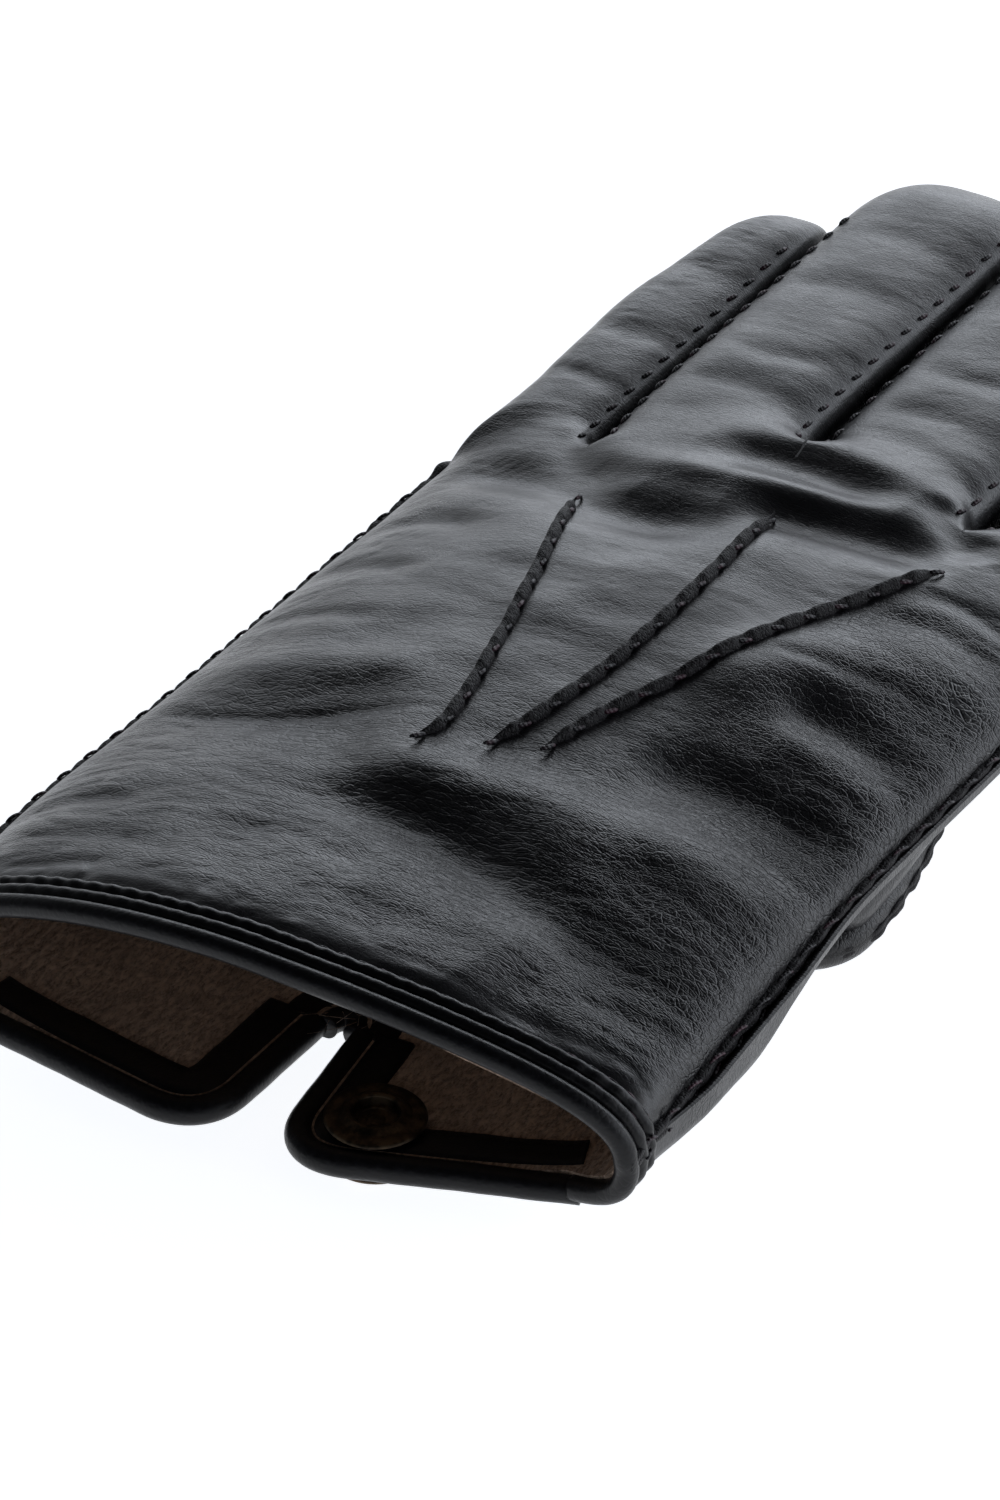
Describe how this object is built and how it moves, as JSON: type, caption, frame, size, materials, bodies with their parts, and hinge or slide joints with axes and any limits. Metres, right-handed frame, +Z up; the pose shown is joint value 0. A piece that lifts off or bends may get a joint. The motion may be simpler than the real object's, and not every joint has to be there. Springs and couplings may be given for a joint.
{
  "type": "leather glove",
  "caption": "Men's dress glove for the left hand, lined, with hand-stitched points on the back, sewn finger gussets, a rolled cuff hem and a snap vent under the wrist.",
  "frame": {"origin": "middle of the glove's footprint, on the surface it lies on", "axes": "+Y from the cuff to the fingertips, +X to the thumb side, +Z up through the back of the hand; the palm faces -Z"},
  "size_m": [0.1022, 0.2326, 0.0272],
  "materials": {
    "black_leather": "black satin lambskin, soft grain",
    "black_edging": "black leather rolls, tucks and raw seam edges with black thread",
    "knit": "brushed taupe rib knit",
    "antique_brass": "dark antique, worn bright at the edges"
  },
  "bodies": {
    "hand": {"back_leather": "black_leather", "back_lining": "knit", "palm_leather": "black_leather", "palm_lining": "knit", "cuff_hem": "black_edging", "little_finger_side_seam": "black_edging", "forefinger_side_seam": "black_edging", "little_finger_point": "black_edging", "middle_finger_point": "black_edging", "forefinger_point": "black_edging"},
    "little_finger": {"little_back_leather": "black_leather", "little_palm_leather": "black_leather", "little_fourchette_inner": "black_leather", "little_lining": "knit"},
    "ring_finger": {"ring_back_leather": "black_leather", "ring_palm_leather": "black_leather", "ring_fourchette_outer": "black_leather", "ring_fourchette_inner": "black_leather", "ring_lining": "knit"},
    "middle_finger": {"middle_back_leather": "black_leather", "middle_palm_leather": "black_leather", "middle_fourchette_outer": "black_leather", "middle_fourchette_inner": "black_leather", "middle_lining": "knit"},
    "index_finger": {"index_back_leather": "black_leather", "index_palm_leather": "black_leather", "index_fourchette_outer": "black_leather", "index_lining": "knit"},
    "thumb": {"thumb_leather": "black_leather", "thumb_lining": "knit"},
    "left_flap": {"left_flap_leather": "black_leather", "left_flap_lining": "knit", "left_flap_binding": "black_edging", "snap_stud": "antique_brass"},
    "right_flap": {"right_flap_leather": "black_leather", "right_flap_lining": "knit", "right_flap_binding": "black_edging", "snap_cap": "antique_brass", "snap_socket": "antique_brass"}
  },
  "joints": [
    {"name": "little_knuckle", "type": "hinge", "parent": "hand", "child": "little_finger", "pos_m": [-0.03786, 0.00637, 0], "axis": [-1, 0, 0], "range_deg": [0, 65]},
    {"name": "ring_knuckle", "type": "hinge", "parent": "hand", "child": "ring_finger", "pos_m": [-0.01436, 0.01337, 0], "axis": [-1, 0, 0], "range_deg": [0, 65]},
    {"name": "middle_knuckle", "type": "hinge", "parent": "hand", "child": "middle_finger", "pos_m": [0.01154, 0.01737, 0], "axis": [-1, 0, 0], "range_deg": [0, 65]},
    {"name": "index_knuckle", "type": "hinge", "parent": "hand", "child": "index_finger", "pos_m": [0.03684, 0.00937, 0], "axis": [-1, 0, 0], "range_deg": [0, 65]},
    {"name": "thumb_fold", "type": "hinge", "parent": "hand", "child": "thumb", "pos_m": [0.04894, -0.02748, 0.0043], "axis": [0, -1, 0], "range_deg": [0, 165]},
    {"name": "left_flap_fold", "type": "hinge", "parent": "hand", "child": "left_flap", "pos_m": [-0.01761, -0.09743, 0], "axis": [0.9126, 0.4088, 0], "range_deg": [0, 75]},
    {"name": "right_flap_fold", "type": "hinge", "parent": "hand", "child": "right_flap", "pos_m": [0.02089, -0.09373, 0], "axis": [0.9725, -0.2329, 0], "range_deg": [0, 75]}
  ]
}
